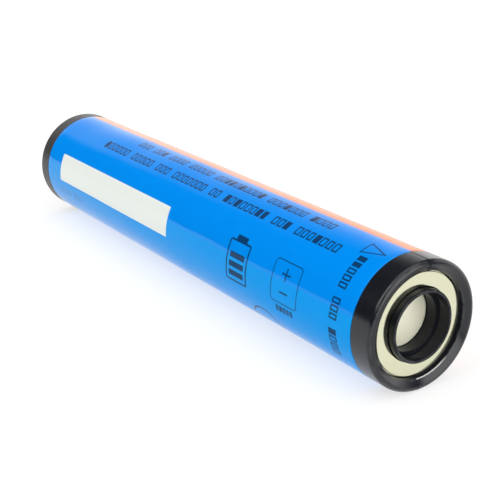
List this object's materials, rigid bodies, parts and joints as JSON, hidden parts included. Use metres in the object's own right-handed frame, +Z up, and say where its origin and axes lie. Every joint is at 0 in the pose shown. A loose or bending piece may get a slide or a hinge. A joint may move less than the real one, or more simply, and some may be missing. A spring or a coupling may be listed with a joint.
{
  "type": "rechargeable flashlight battery stick",
  "caption": "Cylindrical lithium-ion battery stick in a printed shrink sleeve, with a contact ring and a recessed centre contact in its black nose.",
  "frame": {"origin": "below the middle of the stick, on the surface that it lies on", "axes": "+X along the stick towards its contact end, +Z up"},
  "size_m": [0.098, 0.0186, 0.0186],
  "materials": {
    "sleeve_film": "glossy printed shrink film, blue over one half and orange over the other",
    "black_moulding": "black injection moulding, satin",
    "nickel_plate": "nickel plate, soft sheen",
    "steel_can": "drawn nickel-plated steel",
    "electrode_winding": "wound coated foils with separator",
    "aluminium_foil": "plain sheet",
    "cutoff_polymer": "dark conductive polymer between foils",
    "gasket_plastic": "soft blue polypropylene",
    "fish_paper": "vulcanised fibre paper",
    "board_laminate": "green solder mask on glass-epoxy",
    "chip_epoxy": "black moulded epoxy",
    "chip_ceramic": "tan ceramic chip",
    "spacer_plastic": "natural ivory moulding"
  },
  "bodies": {
    "root": {"label_sleeve": "sleeve_film", "nose_half_near": "black_moulding", "nose_half_far": "black_moulding", "contact_ring": "nickel_plate", "insulating_bush": "black_moulding", "centre_contact": "nickel_plate", "contact_retainer": "black_moulding", "rear_cap": "black_moulding", "cell_can": "steel_can", "cell_gasket": "gasket_plastic", "vent_disc": "aluminium_foil", "thermal_cutoff_ring": "cutoff_polymer", "button_cap": "nickel_plate", "jelly_roll": "electrode_winding", "winding_front_insulator": "fish_paper", "winding_rear_insulator": "fish_paper", "cathode_tab": "aluminium_foil", "anode_tab": "nickel_plate", "crimp_insulator": "fish_paper", "rear_insulator": "fish_paper", "cell_spacer": "spacer_plastic", "positive_strap": "nickel_plate", "negative_strap": "nickel_plate", "protection_board": "board_laminate", "power_switch_chip": "chip_epoxy", "protection_chip": "chip_epoxy", "sense_resistor": "chip_epoxy", "filter_capacitor": "chip_ceramic", "thermistor": "chip_ceramic"}
  },
  "joints": []
}
